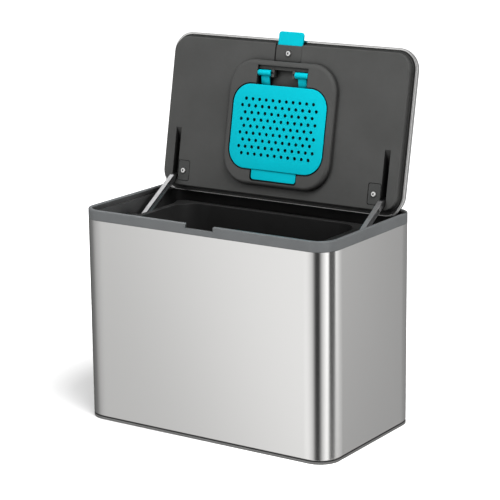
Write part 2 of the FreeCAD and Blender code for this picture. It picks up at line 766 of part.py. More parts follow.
# Two stub pins, each held in the housing's side wall and in a cheek
def filter_hinge_rod():
    start = cheek_outer - rod_seat
    pin = drum(rod_radius, (start, rod_y, rod_z), x_axis, well_half + rod_seat - start)
    return Part.makeCompound([pin, mirrored(pin)])


# Centres of the vent holes: staggered rows that keep clear of the cover's rounded edge
def vent_places():
    row_pitch = vent_pitch * math.sqrt(3) / 2
    reach_x = cover_width / 2 - vent_margin
    reach_y = cover_length / 2 - vent_margin
    round_x = reach_x - (cover_radius - vent_margin)
    round_y = reach_y - (cover_radius - vent_margin)
    rows = int(reach_y / row_pitch)
    columns = int(reach_x / vent_pitch) + 1
    places = []
    for row in range(-rows, rows + 1):
        y = row * row_pitch
        for column in range(-columns, columns + 1):
            x = (column + (row % 2) / 2) * vent_pitch
            past = math.hypot(max(abs(x) - round_x, 0.0), max(abs(y) - round_y, 0.0))
            if past <= cover_radius - vent_margin:
                places.append((x, cover_y + y))
    return places


# Side outline of a hook's strut, which dips behind the cover's edge and comes up under its back
def hook_strut():
    lug_front = cover_front + hook_lug_inset
    lug_rear = lug_front + hook_lug_length
    deep = cover_back + hook_dip
    root = cover_back - cover_thickness / 2
    return ((rod_y, rod_z + hook_outer), (rod_y + hook_outer, rod_z), (lug_front, deep - hook_wall),
            (lug_front, root), (lug_rear, root), (lug_rear, deep))


# Perforated cover with a finger tab below and two hooks that snap round the stub pins above
def filter_cover():
    panel = rounded_block(cover_width, cover_length, cover_radius, cover_face, cover_back, 0.0, cover_y)
    panel = panel.makeFillet(cover_edge_round, level_edges(panel, cover_face))
    tab_length = finger_tab_length + cavity_inset
    tab_y = cover_rear + finger_tab_length - tab_length / 2
    tab = rounded_block(finger_tab_width, tab_length, finger_tab_round, finger_face,
                        finger_face + finger_tab_thickness, 0.0, tab_y)
    tab = tab.makeFillet(plate_edge_round, level_edges(tab, finger_face))
    panel = panel.fuse(tab).removeSplitter()
    holes = [drum(vent_radius, (x, y, cover_face - overrun), z_axis, cover_thickness + 2 * overrun)
             for x, y in vent_places()]
    panel = panel.cut(Part.makeCompound(holes))
    inner = rod_radius + rod_run_gap
    for sign in (-1, 1):
        low_x = sign * hook_centre - hook_width / 2
        curl = drum(hook_outer, (low_x, rod_y, rod_z), x_axis, hook_width)
        arm = side_profile(hook_strut(), low_x, low_x + hook_width)
        bore = drum(inner, (low_x - overrun, rod_y, rod_z), x_axis, hook_width + 2 * overrun)
        mouth = span_box((low_x - overrun, rod_y - hook_outer - overrun, rod_z),
                         (low_x + hook_width + overrun, rod_y, rod_z + hook_mouth))
        panel = panel.fuse(curl.fuse(arm).cut(bore).cut(mouth))
    return panel.removeSplitter()


def opened(shape):
    swung = shape.copy()
    swung.rotate(Vector(0, hinge_y, hinge_z), x_axis, -open_angle)
    return swung


fixed_pieces = {
    "base_plate": base_plate(),
    "steel_casing": steel_casing(),
    "rim_trim": rim_trim(),
    "rim_frame": rim_frame(),
    "inner_bucket": inner_bucket(),
    "hinge_arm_right": hinge_arm(),
    "hinge_arm_left": mirrored(hinge_arm()),
    "arm_screws": arm_screws(),
}
lid_pieces = {
    "lid_cover": lid_cover(),
    "lid_liner": lid_liner(),
    "hinge_pin_right": hinge_pin(),
    "hinge_pin_left": mirrored(hinge_pin()),
    "hinge_plate_right": hinge_plate(),
    "hinge_plate_left": mirrored(hinge_plate()),
    "hinge_plate_screws": hinge_plate_screws(),
    "pull_tab": pull_tab(),
    "tab_retainer": tab_retainer(),
    "tab_screw": tab_screw(),
    "carbon_filter": carbon_filter(),
    "filter_hinge_rod": filter_hinge_rod(),
    "filter_cover": filter_cover(),
}

os.makedirs("parts", exist_ok=True)
pieces = dict(fixed_pieces)
for name, shape in lid_pieces.items():
    pieces[name] = opened(shape)
for name, shape in pieces.items():
    shape.exportStep("parts/" + name + ".step")
    state = "valid" if shape.isValid() else "INVALID"
    print(name, len(shape.Solids), "solid(s)", round(shape.Volume), "mm3", state)
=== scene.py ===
import bmesh
import bpy
import math
from mathutils import Matrix, Vector, noise


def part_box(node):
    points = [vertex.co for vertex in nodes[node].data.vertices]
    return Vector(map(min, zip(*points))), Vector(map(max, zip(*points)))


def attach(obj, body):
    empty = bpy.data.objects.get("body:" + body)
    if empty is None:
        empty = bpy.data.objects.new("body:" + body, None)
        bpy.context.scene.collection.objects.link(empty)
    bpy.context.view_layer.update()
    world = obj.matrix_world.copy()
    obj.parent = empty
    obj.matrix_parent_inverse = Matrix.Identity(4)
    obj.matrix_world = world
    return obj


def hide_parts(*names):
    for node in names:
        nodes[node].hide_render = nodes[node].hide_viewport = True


# Looks of the kitchen compost bin. Piece sizes are in millimetres, scaled to metres when a mesh is made.
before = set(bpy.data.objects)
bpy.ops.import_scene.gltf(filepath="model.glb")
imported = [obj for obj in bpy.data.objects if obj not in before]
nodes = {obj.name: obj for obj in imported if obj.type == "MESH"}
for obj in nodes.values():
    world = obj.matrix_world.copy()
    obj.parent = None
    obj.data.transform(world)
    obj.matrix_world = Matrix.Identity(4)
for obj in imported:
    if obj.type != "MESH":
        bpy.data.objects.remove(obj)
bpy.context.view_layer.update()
mm = 0.001
print("frame loaded:", len(nodes), "nodes")


# The lid's pieces are drawn closed, in the CAD's closed frame, and swung open about the pins
def pinCentre():
    low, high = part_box("hinge_pin_right")
    return Vector((0.0, (low.y + high.y) / 2, (low.z + high.z) / 2))


lidSwing = {"openAngle": 101.0, "axis": pinCentre()}
openLid = (Matrix.Translation(lidSwing["axis"])
           @ Matrix.Rotation(-math.radians(lidSwing["openAngle"]), 4, "X")
           @ Matrix.Translation(-lidSwing["axis"]))


# Camera at the photograph's viewing angle
cameraSetup = {"azimuth": 33.9, "elevation": 13.84, "roll": -0.61, "distance": 1.72369,
               "target": (0.00324, 0.0, 0.15806), "lens": 138.88, "sensor": 36.0, "clipStart": 0.05,
               "clipEnd": 50.0}


def addObject(name, data):
    piece = bpy.data.objects.new(name, data)
    bpy.context.scene.collection.objects.link(piece)
    return piece


# Direction from the part, with the azimuth counted from the front towards the right
def wayTo(azimuth, elevation):
    return Vector((math.sin(azimuth) * math.cos(elevation), -math.cos(azimuth) * math.cos(elevation),
                   math.sin(elevation)))


def addCamera():
    azimuth = math.radians(cameraSetup["azimuth"])
    elevation = math.radians(cameraSetup["elevation"])
    roll = math.radians(cameraSetup["roll"])
    back = wayTo(azimuth, elevation)
    right = Vector((math.cos(azimuth), math.sin(azimuth), 0.0))
    up = back.cross(right)
    across = right * math.cos(roll) + up * math.sin(roll)
    upward = up * math.cos(roll) - right * math.sin(roll)
    place = Matrix((across, upward, back)).transposed().to_4x4()
    place.translation = Vector(cameraSetup["target"]) + back * cameraSetup["distance"]
    camera = addObject("camera", bpy.data.cameras.new("camera"))
    camera.data.lens = cameraSetup["lens"]
    camera.data.sensor_width = cameraSetup["sensor"]
    camera.data.clip_start = cameraSetup["clipStart"]
    camera.data.clip_end = cameraSetup["clipEnd"]
    camera.matrix_world = place
    bpy.context.scene.camera = camera


addCamera()
bpy.context.scene.view_settings.view_transform = "Standard"


# Small helpers for node trees
def addNode(tree, kind, values=None, **settings):
    node = tree.nodes.new(kind)
    for key, value in settings.items():
        setattr(node, key, value)
    for key, value in (values or {}).items():
        node.inputs[key].default_value = value
    return node


def connect(tree, source, target):
    tree.links.new(source, target)


# Studio: what the metal sees round it, as (azimuth from the front towards the right, share of the level),
# and a pale ceiling above
studio = {
    "ambient": 0.46, "level": 1.5, "backdrop": 1.0, "sky": 0.30, "skyStart": 0.40, "skyFull": 0.75,
    "surround": ((-180, 0.20), (-115, 0.08), (-75, 0.16), (-58, 0.34), (-46, 0.42), (-39, 0.46),
                 (-35.4, 0.69), (-32.6, 0.80), (-28, 0.77), (-19, 0.63), (-11, 0.50), (-6, 0.36),
                 (-3, 0.22), (2, 0.08), (6, 0.03), (20, 0.03), (25, 0.07), (31, 0.25), (43, 0.53),
                 (57, 0.77), (66, 0.95), (78, 1.0), (84, 0.32), (88, 0.08), (116, 0.07), (119, 0.14),
                 (123, 0.80), (136, 0.62), (145, 0.49), (148.5, 0.42), (151, 0.25), (180, 0.20)),
}
plainWhite = (1.0, 1.0, 1.0, 1.0)


def turnShare(degrees):
    return (degrees + 180) / 360


def buildWorld():
    world = bpy.data.worlds.new("studio")
    bpy.context.scene.world = world
    world.use_nodes = True
    tree = world.node_tree
    tree.nodes.clear()
    output = addNode(tree, "ShaderNodeOutputWorld")
    way = addNode(tree, "ShaderNodeTexCoord")
    split = addNode(tree, "ShaderNodeSeparateXYZ")
    front = addNode(tree, "ShaderNodeMath", {1: -1.0}, operation="MULTIPLY")
    azimuth = addNode(tree, "ShaderNodeMath", operation="ARCTAN2")
    turn = addNode(tree, "ShaderNodeMapRange", {"From Min": -math.pi, "From Max": math.pi})
    bands = addNode(tree, "ShaderNodeValToRGB")
    connect(tree, way.outputs["Generated"], split.inputs[0])
    connect(tree, split.outputs["Y"], front.inputs[0])
    connect(tree, split.outputs["X"], azimuth.inputs[0])
    connect(tree, front.outputs[0], azimuth.inputs[1])
    connect(tree, azimuth.outputs[0], turn.inputs["Value"])
    connect(tree, turn.outputs["Result"], bands.inputs["Fac"])
    ramp = bands.color_ramp
    stops = studio["surround"]
    for stop in stops[1:-1]:
        ramp.elements.new(turnShare(stop[0]))
    for element, (degrees, level) in zip(ramp.elements, stops):
        element.position = turnShare(degrees)
        element.color = (level, level, level, 1.0)
    ceiling = addNode(tree, "ShaderNodeMapRange", {"From Min": studio["skyStart"],
                                                   "From Max": studio["skyFull"], "To Max": studio["sky"]})
    connect(tree, split.outputs["Z"], ceiling.inputs["Value"])
    connect(tree, bands.outputs["Color"], ceiling.inputs["To Min"])
    soft = addNode(tree, "ShaderNodeBackground", {"Color": plainWhite, "Strength": studio["ambient"]})
    seen = addNode(tree, "ShaderNodeBackground", {"Strength": studio["level"]})
    connect(tree, ceiling.outputs["Result"], seen.inputs["Color"])
    white = addNode(tree, "ShaderNodeBackground", {"Color": plainWhite, "Strength": studio["backdrop"]})
    path = addNode(tree, "ShaderNodeLightPath")
    clear = addNode(tree, "ShaderNodeMath", operation="MAXIMUM")
    gloss = addNode(tree, "ShaderNodeMixShader")
    final = addNode(tree, "ShaderNodeMixShader")
    connect(tree, path.outputs["Is Glossy Ray"], gloss.inputs[0])
    connect(tree, soft.outputs[0], gloss.inputs[1])
    connect(tree, seen.outputs[0], gloss.inputs[2])
    connect(tree, path.outputs["Is Camera Ray"], clear.inputs[0])
    connect(tree, path.outputs["Is Transmission Ray"], clear.inputs[1])
    connect(tree, clear.outputs[0], final.inputs[0])
    connect(tree, gloss.outputs[0], final.inputs[1])
    connect(tree, white.outputs[0], final.inputs[2])
    connect(tree, final.outputs[0], output.inputs["Surface"])


# Lamps: a mirrored one shows in glossy surfaces and lights nothing else, and the others do the reverse
lamps = (
    {"name": "keyLamp", "azimuth": 55, "elevation": 58, "distance": 1.6, "size": 0.9, "power": 26.0,
     "mirrored": False},
    {"name": "frontLamp", "azimuth": -20, "elevation": 40, "distance": 2.0, "size": 1.4, "power": 16.0,
     "mirrored": False},
    {"name": "leftSoftbox", "azimuth": -103, "elevation": 47, "distance": 0.68, "size": 0.20,
     "power": 0.13, "mirrored": True},
    {"name": "mouthSpot", "azimuth": 92, "elevation": 33, "distance": 0.85, "size": 0.03, "power": 46.0,
     "mirrored": False, "beam": 9.5, "blend": 0.7, "target": (-0.09, -0.025, 0.17)},
)


def addLamp(setup):
    light = bpy.data.lights.new(setup["name"], "SPOT" if "beam" in setup else "AREA")
    if "beam" in setup:
        light.spot_size = math.radians(setup["beam"])
        light.spot_blend = setup["blend"]
        light.shadow_soft_size = setup["size"]
    else:
        light.shape = "DISK"
        light.size = setup["size"]
    light.energy = setup["power"]
    lamp = addObject(setup["name"], light)
    way = wayTo(math.radians(setup["azimuth"]), math.radians(setup["elevation"]))
    lamp.location = Vector(setup.get("target", cameraSetup["target"])) + way * setup["distance"]
    lamp.rotation_euler = way.to_track_quat("Z", "Y").to_euler()
    lamp.visible_glossy = setup["mirrored"]
    lamp.visible_diffuse = not setup["mirrored"]


# Floor: lifted towards white away from the bin, for the camera alone
floorSetup = {"size": 12.0, "colour": 0.80, "nearLift": 0.10, "farLift": 0.96, "nearReach": 0.10,
              "farReach": 0.31, "centre": (-0.10, 0.03, 0.0), "drop": 0.0002}


def addFloor():
    half = floorSetup["size"] / 2
    mesh = bpy.data.meshes.new("floor")
    corners = [(-half, -half), (half, -half), (half, half), (-half, half)]
    mesh.from_pydata([(x, y, -floorSetup["drop"]) for x, y in corners], [], [(0, 1, 2, 3)])
    floor = addObject("floor", mesh)
    material = bpy.data.materials.new("paleFloor")
    material.use_nodes = True
    tree = material.node_tree
    tree.nodes.clear()
    output = addNode(tree, "ShaderNodeOutputMaterial")
    level = floorSetup["colour"]
    matte = addNode(tree, "ShaderNodeBsdfDiffuse", {"Color": (level, level, level, 1.0)})
    lift = addNode(tree, "ShaderNodeEmission")
    path = addNode(tree, "ShaderNodeLightPath")
    place = addNode(tree, "ShaderNodeTexCoord")
    reach = addNode(tree, "ShaderNodeVectorMath", {1: floorSetup["centre"]}, operation="DISTANCE")
    fade = addNode(tree, "ShaderNodeMapRange",
                   {"From Min": floorSetup["nearReach"], "From Max": floorSetup["farReach"],
                    "To Min": floorSetup["nearLift"], "To Max": floorSetup["farLift"]})
    seen = addNode(tree, "ShaderNodeMath", operation="MULTIPLY")
    both = addNode(tree, "ShaderNodeAddShader")
    connect(tree, place.outputs["Object"], reach.inputs[0])
    connect(tree, reach.outputs["Value"], fade.inputs["Value"])
    connect(tree, fade.outputs["Result"], seen.inputs[1])
    connect(tree, path.outputs["Is Camera Ray"], seen.inputs[0])
    connect(tree, seen.outputs[0], lift.inputs["Strength"])
    connect(tree, matte.outputs[0], both.inputs[0])
    connect(tree, lift.outputs[0], both.inputs[1])
    connect(tree, both.outputs[0], output.inputs["Surface"])
    mesh.materials.append(material)
    floor.visible_glossy = False


buildWorld()
for setup in lamps:
    addLamp(setup)
addFloor()
print("studio set")


# Materials: the part of a noise's range that is used, and samples of the shading nodes
noiseSpan = (0.3, 0.7)
edgeSamples = 6
# Painted shade: the share of the colour that hollows keep, the part of the occlusion's range used, and its
# samples
paintedShade = {"share": (0.10, 1.0), "span": (0.30, 0.78), "samples": 8}


def blankMaterial(name):
    material = bpy.data.materials.new(name)
    material.use_nodes = True
    tree = material.node_tree
    tree.nodes.clear()
    output = addNode(tree, "ShaderNodeOutputMaterial")
    shader = addNode(tree, "ShaderNodeBsdfPrincipled")
    connect(tree, shader.outputs[0], output.inputs["Surface"])
    return material, tree, shader


def objectNoise(tree, scale, detail, stretch=(1.0, 1.0, 1.0)):
    place = addNode(tree, "ShaderNodeTexCoord")
    mapping = addNode(tree, "ShaderNodeMapping", {"Scale": stretch})
    speckle = addNode(tree, "ShaderNodeTexNoise", {"Scale": scale, "Detail": detail})
    connect(tree, place.outputs["Object"], mapping.inputs["Vector"])
    connect(tree, mapping.outputs[0], speckle.inputs["Vector"])
    return speckle.outputs["Fac"]


def spread(tree, source, low, high, span=noiseSpan):
    node = addNode(tree, "ShaderNodeMapRange",
                   {"From Min": span[0], "From Max": span[1], "To Min": low, "To Max": high})
    connect(tree, source, node.inputs["Value"])
    return node.outputs["Result"]


def tone(tree, source, dark, light):
    ramp = addNode(tree, "ShaderNodeValToRGB")
    for element, place, colour in zip(ramp.color_ramp.elements, noiseSpan, (dark, light)):
        element.position = place
        element.color = (*colour, 1.0)
    connect(tree, source, ramp.inputs["Fac"])
    return ramp.outputs["Color"]


# Fine relief, over edges that are softened by a small radius
def bump(tree, source, strength, distance, edge=0.0):
    node = addNode(tree, "ShaderNodeBump", {"Strength": strength, "Distance": distance})
    connect(tree, source, node.inputs["Height"])
    if edge:
        soft = addNode(tree, "ShaderNodeBevel", {"Radius": edge * mm}, samples=edgeSamples)
        connect(tree, soft.outputs[0], node.inputs["Normal"])
    return node.outputs["Normal"]


# Painted shade in hollows of about this reach: ambient occlusion darkens the colour, given as the share of
# the colour that is left
def hollow(tree, reach):
    node = addNode(tree, "ShaderNodeAmbientOcclusion", {"Distance": reach * mm},
                   samples=paintedShade["samples"])
    return spread(tree, node.outputs["AO"], *paintedShade["share"], paintedShade["span"])


def shaded(tree, colour, share):
    node = addNode(tree, "ShaderNodeVectorMath", operation="SCALE")
    connect(tree, colour, node.inputs[0])
    connect(tree, share, node.inputs["Scale"])
    return node.outputs[0]


# hollow: the reach, in millimetres, of the painted shade in hollows
plastics = {
    "rimPlastic": {"dark": (0.103, 0.108, 0.111), "light": (0.123, 0.129, 0.132), "rough": (0.38, 0.48),
                   "grain": 2600.0, "depth": 0.06, "specular": 0.35, "edge": 0.5, "hollow": 3.0},
    "framePlastic": {"dark": (0.032, 0.032, 0.032), "light": (0.039, 0.039, 0.039), "rough": (0.32, 0.40),
                     "grain": 2200.0, "depth": 0.05, "specular": 0.50, "edge": 0.7, "hollow": 40.0},
    "linerPlastic": {"dark": (0.046, 0.0465, 0.045), "light": (0.056, 0.0565, 0.055),
                     "rough": (0.48, 0.58), "grain": 2200.0, "depth": 0.10, "specular": 0.30, "edge": 0.4,
                     "hollow": 22.0},
    "platePlastic": {"dark": (0.040, 0.041, 0.040), "light": (0.048, 0.049, 0.048), "rough": (0.46, 0.56),
                     "grain": 2300.0, "depth": 0.08, "specular": 0.30, "edge": 0.3, "hollow": 2.0},
    "bucketPlastic": {"dark": (0.0075, 0.0075, 0.0075), "light": (0.0095, 0.0095, 0.0095),
                      "rough": (0.28, 0.34), "grain": 1800.0, "depth": 0.015, "specular": 0.75, "edge": 0.9,
                      "hollow": 25.0},
    "basePlastic": {"dark": (0.125, 0.125, 0.122), "light": (0.150, 0.150, 0.147), "rough": (0.42, 0.55),
                    "grain": 2000.0, "depth": 0.10, "specular": 0.40, "edge": 0.5, "hollow": 2.0},
    "tealPlastic": {"dark": (0.0, 0.385, 0.468), "light": (0.0, 0.415, 0.502), "rough": (0.44, 0.54),
                    "grain": 2400.0, "depth": 0.05, "specular": 0.07, "edge": 0.3, "hollow": 12.0},
}

moulding = {"cloud": 26.0, "cloudDetail": 4.0, "grainDetail": 2.0, "scuff": 240.0, "scuffDetail": 5.0,
            "relief": 0.00008}


def plasticMaterial(name):
    look = plastics[name]
    material, tree, shader = blankMaterial(name)
    cloud = objectNoise(tree, moulding["cloud"], moulding["cloudDetail"])
    grain = objectNoise(tree, look["grain"], moulding["grainDetail"])
    scuff = objectNoise(tree, moulding["scuff"], moulding["scuffDetail"])
    colour = tone(tree, cloud, look["dark"], look["light"])
    # Base colour darkened by painted shade in hollows
    connect(tree, shaded(tree, colour, hollow(tree, look["hollow"])), shader.inputs["Base Color"])
    connect(tree, spread(tree, scuff, *look["rough"]), shader.inputs["Roughness"])
    relief = bump(tree, grain, look["depth"], moulding["relief"], look["edge"])
    connect(tree, relief, shader.inputs["Normal"])
    shader.inputs["Specular IOR Level"].default_value = look["specular"]
    return material


steels = {
    "bodySteel": {"stretch": (1.0, 1.0, 1500.0), "streak": 9.0, "dark": (0.720, 0.715, 0.705),
                  "light": (0.742, 0.737, 0.727), "rough": (0.235, 0.25), "anisotropy": 0.96},
    "lidSteel": {"stretch": (1.0, 1500.0, 1500.0), "streak": 9.0, "dark": (0.720, 0.715, 0.705),
                 "light": (0.742, 0.737, 0.727), "rough": (0.27, 0.29), "anisotropy": 0.85},
}

brushing = {"streakDetail": 3.0, "finer": 4, "fineDetail": 2.0, "depth": 0.006, "relief": 0.00002}


def steelMaterial(name):
    look = steels[name]
    material, tree, shader = blankMaterial(name)
    streak = objectNoise(tree, look["streak"], brushing["streakDetail"], look["stretch"])
    fine = objectNoise(tree, look["streak"] * brushing["finer"], brushing["fineDetail"], look["stretch"])
    connect(tree, tone(tree, streak, look["dark"], look["light"]), shader.inputs["Base Color"])
    connect(tree, spread(tree, fine, *look["rough"]), shader.inputs["Roughness"])
    connect(tree, bump(tree, fine, brushing["depth"], brushing["relief"]), shader.inputs["Normal"])
    shader.inputs["Metallic"].default_value = 1.0
    shader.inputs["Anisotropic"].default_value = look["anisotropy"]
    tangent = addNode(tree, "ShaderNodeTangent", direction_type="UV_MAP", uv_map="brush")
    connect(tree, tangent.outputs[0], shader.inputs["Tangent"])
    return material


# hollow: the reach, in millimetres, of the painted shade in hollows
metals = {
    "armMetal": {"dark": (0.44, 0.44, 0.445), "light": (0.52, 0.52, 0.525), "rough": (0.26, 0.34),
                 "grain": 900.0, "edge": 0.5, "hollow": 2.0},
    "platedSteel": {"dark": (0.86, 0.86, 0.85), "light": (0.96, 0.96, 0.95), "rough": (0.26, 0.36),
                    "grain": 1500.0, "edge": 0.1, "hollow": 1.4},
    # Painted shade: a darkened copy of the plated steel, for the filter's hinge rod deep in the hook recess
    "shadedRodSteel": {"dark": (0.030, 0.030, 0.031), "light": (0.045, 0.045, 0.046), "rough": (0.34, 0.44),
                     "grain": 1500.0, "edge": 0.15, "hollow": 1.4},
}

casting = {"coarser": 6, "cloudDetail": 4.0, "grainDetail": 3.0, "depth": 0.05, "relief": 0.00005}


def metalMaterial(name):
    look = metals[name]
    material, tree, shader = blankMaterial(name)
    cloud = objectNoise(tree, look["grain"] / casting["coarser"], casting["cloudDetail"])
    grain = objectNoise(tree, look["grain"], casting["grainDetail"])
    colour = tone(tree, cloud, look["dark"], look["light"])
    # Base colour darkened by painted shade in hollows
    connect(tree, shaded(tree, colour, hollow(tree, look["hollow"])), shader.inputs["Base Color"])
    connect(tree, spread(tree, grain, *look["rough"]), shader.inputs["Roughness"])
    relief = bump(tree, grain, casting["depth"], casting["relief"], look["edge"])
    connect(tree, relief, shader.inputs["Normal"])
    shader.inputs["Metallic"].default_value = 1.0
    return material


felt = {"dark": (0.006, 0.006, 0.006), "light": (0.030, 0.029, 0.028), "fibre": 1400.0, "fibreDetail": 6.0,
        "fibreStretch": (1.0, 0.3, 1.0), "clump": 260.0, "clumpDetail": 4.0, "rough": (0.85, 1.0),
        "depth": 0.8, "relief": 0.0004, "sheen": 0.3}


def feltMaterial(name):
    material, tree, shader = blankMaterial(name)
    fibre = objectNoise(tree, felt["fibre"], felt["fibreDetail"], felt["fibreStretch"])
    clump = objectNoise(tree, felt["clump"], felt["clumpDetail"])
    connect(tree, tone(tree, fibre, felt["dark"], felt["light"]), shader.inputs["Base Color"])
    connect(tree, spread(tree, clump, *felt["rough"]), shader.inputs["Roughness"])
    connect(tree, bump(tree, fibre, felt["depth"], felt["relief"]), shader.inputs["Normal"])
    shader.inputs["Sheen Weight"].default_value = felt["sheen"]
    return material


finishes = {name: plasticMaterial(name) for name in plastics}
finishes.update({name: steelMaterial(name) for name in steels})
finishes.update({name: metalMaterial(name) for name in metals})
finishes["carbonFelt"] = feltMaterial("carbonFelt")
print("materials made:", len(finishes))


def paint(node, finish):
    piece = nodes[node]
    piece.data.materials.clear()
    piece.data.materials.append(finishes[finish])


# Meshes: faces that meet at more than the crease angle, in degrees, keep a sharp edge
creaseAngle = 35


def softEdges(mesh, angle=creaseAngle):
    mesh.shade_smooth()
    mesh.set_sharp_from_angle(angle=math.radians(angle))


def addMesh(name, points, faces, finish, uvs=None, swing=None, angle=creaseAngle):
    mesh = bpy.data.meshes.new(name)
    mesh.from_pydata([Vector(p) * mm for p in points], [], faces)
    if uvs:
        layer = mesh.uv_layers.new(name="brush")
        for loop in mesh.loops:
            layer.data[loop.index].uv = uvs[loop.vertex_index]
    if swing:
        mesh.transform(swing)
    mesh.validate()
    softEdges(mesh, angle)
    mesh.materials.append(finishes[finish])
    return addObject(name, mesh)


# Rounded rectangle: reach is where a corner's bend starts, and a power above that of a circle eases it in
circlePower = 2.0


def easedLoop(width, depth, reach, power, steps, centreY=0.0):
    points = []
    for turn in range(4):
        quarter = turn * math.pi / 2
        signX = 1 if turn in (0, 3) else -1
        signY = 1 if turn in (0, 1) else -1
        for step in range(steps + 1):
            angle = quarter + step / steps * math.pi / 2
            across = abs(math.cos(angle)) ** (2 / power)
            along = abs(math.sin(angle)) ** (2 / power)
            points.append((signX * (width / 2 - reach + reach * across),
                           centreY + signY * (depth / 2 - reach + reach * along)))
    return points


# Sweeps a profile of (inset, height) round a loop. A closed profile makes a ring, an open one is capped
def sweptShell(loopAt, profile, closed):
    points, uvs, faces = [], [], []
    count = len(loopAt(0.0))
    run = 0.0
    for index, (inset, height) in enumerate(profile):
        if index:
            run += math.dist(profile[index - 1], profile[index])
        loop = loopAt(inset)
        around = 0.0
        for place, (x, y) in enumerate(loop):
            if place:
                around += math.dist(loop[place - 1], loop[place])
            points.append((x, y, height))
            uvs.append((run * mm, around * mm))
    rows = len(profile)
    for row in range(rows if closed else rows - 1):
        here, there = row * count, (row + 1) % rows * count
        for place in range(count):
            after = (place + 1) % count
            faces.append((here + place, here + after, there + after, there + place))
    if not closed:
        faces.append(tuple(reversed(range(count))))
        faces.append(tuple(range((rows - 1) * count, rows * count)))
    return points, faces, uvs


def bendPoints(centreInset, centreHeight, radius, start, end, steps):
    points = []
    for step in range(steps + 1):
        angle = math.radians(start + (end - start) * step / steps)
        points.append((centreInset - radius * math.cos(angle), centreHeight + radius * math.sin(angle)))
    return points


def outward(piece):
    shell = bmesh.new()
    shell.from_mesh(piece.data)
    bmesh.ops.recalc_face_normals(shell, faces=shell.faces)
    shell.to_mesh(piece.data)
    shell.free()


# Steel sleeve
sleeve = {"reach": 24.0, "power": 2.63, "steps": 28, "sheet": 0.7, "flange": 6.0, "bend": 1.2,
          "outerSteps": 5, "innerSteps": 4, "edge": 0.2, "edgeDrop": 0.25}


def steelSleeve():
    low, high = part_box("steel_casing")
    width, depth = (high.x - low.x) / mm, (high.y - low.y) / mm
    foot, top = low.z / mm, high.z / mm
    sheet, bend, edge = sleeve["sheet"], sleeve["bend"], sleeve["edge"]

    def loopAt(inset):
        return easedLoop(width - 2 * inset, depth - 2 * inset, sleeve["reach"] - inset, sleeve["power"],
                         sleeve["steps"])

    profile = [(0.0, top - sleeve["edgeDrop"]), (0.0, foot + bend)]
    profile += bendPoints(bend, foot + bend, bend, 0, -90, sleeve["outerSteps"])[1:]
    profile += [(sleeve["flange"], foot), (sleeve["flange"], foot + sheet)]
    profile += bendPoints(bend, foot + bend, bend - sheet, -90, 0, sleeve["innerSteps"])
    profile += [(sheet, top - edge), (sheet - edge, top), (edge, top)]
    points, faces, uvs = sweptShell(loopAt, profile, True)
    piece = addMesh("steelSleeve", points, faces, "bodySteel", uvs)
    outward(piece)
    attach(piece, "bin")
    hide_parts("steel_casing")


# Steel lid pan whose hem is a half-round bead, drawn in along the rear
pan = {"width": 260.0, "depth": 148.0, "centreY": -1.0, "radius": 19.0, "hem": 196.3, "height": 13.0,
       "round": 12.0, "sheet": 0.7, "hemLip": 2.4, "hemThickness": 0.8, "rearSlim": 0.6, "rearStart": 8.0,
       "rearFade": 4.0, "levelSpare": 0.01, "leastRadius": 1.0, "beadSteps": 12, "bowSteps": 14,
       "innerSteps": 10, "steps": 22}


def lidPan():
    hem, top = pan["hem"], pan["hem"] + pan["height"]
    sheet, lip, fold = pan["sheet"], pan["hemLip"], pan["hemThickness"]
    bow = pan["round"]

    def loopAt(inset):
        return easedLoop(pan["width"] - 2 * inset, pan["depth"] - 2 * inset,
                         max(pan["radius"] - inset, pan["leastRadius"]), circlePower, pan["steps"],
                         pan["centreY"])

    outer = []
    for step in range(pan["beadSteps"] + 1):
        angle = math.pi * step / pan["beadSteps"]
        outer.append((lip / 2 * (1 + math.cos(angle)), hem + fold * (1 - math.sin(angle))))
    outer += bendPoints(bow, top - bow, bow, 0, 90, pan["bowSteps"])
    inner = bendPoints(bow, top - bow, bow - sheet, 90, 0, pan["innerSteps"])
    inner += [(sheet, hem + fold)]
    swept, faces, uvs = sweptShell(loopAt, outer + inner, True)
    rear = pan["centreY"] + pan["depth"] / 2
    points = []
    for x, y, z in swept:
        share = 0.0
        if z < hem + fold + pan["levelSpare"]:
            share = max(0.0, min(1.0, (y - rear + pan["rearStart"]) / pan["rearFade"]))
        points.append((x, y + (rear - y) * share * pan["rearSlim"], z))
    count = len(loopAt(0.0))
    seam = len(outer) - 1
    faces = [f for f in faces if not (f[0] // count == seam and f[3] // count == seam + 1)]
    faces.append(tuple(range(seam * count, (seam + 1) * count)))
    faces.append(tuple(reversed(range((seam + 1) * count, (seam + 2) * count))))
    uvs = [(y * mm + z * mm, x * mm) for x, y, z in points]
    piece = addMesh("lidPan", points, faces, "lidSteel", uvs, openLid)
    outward(piece)
    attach(piece, "lid")
    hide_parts("lid_cover")


steelSleeve()
lidPan()
print("steel made")


# Geometry Nodes: a tree with named inputs, and a bake that puts its result in the piece's mesh
def geometryTree(name, inputs):
    tree = bpy.data.node_groups.new(name, "GeometryNodeTree")
    tree.interface.new_socket("Geometry", in_out="INPUT", socket_type="NodeSocketGeometry")
    for label, kind in inputs.items():
        tree.interface.new_socket(label, in_out="INPUT", socket_type="NodeSocket" + kind)
    tree.interface.new_socket("Geometry", in_out="OUTPUT", socket_type="NodeSocketGeometry")
    return tree, addNode(tree, "NodeGroupInput"), addNode(tree, "NodeGroupOutput")


def bake(piece, tree, values):
    step = piece.modifiers.new(tree.name, "NODES")
    step.node_group = tree
    for item in tree.interface.items_tree:
        if item.in_out == "INPUT" and item.name in values:
            step[item.identifier] = values[item.name]
    piece.update_tag()
    bpy.context.view_layer.update()
    graph = bpy.context.evaluated_depsgraph_get()
    mesh = bpy.data.meshes.new_from_object(piece.evaluated_get(graph), depsgraph=graph)
    piece.modifiers.clear()
    piece.data = mesh


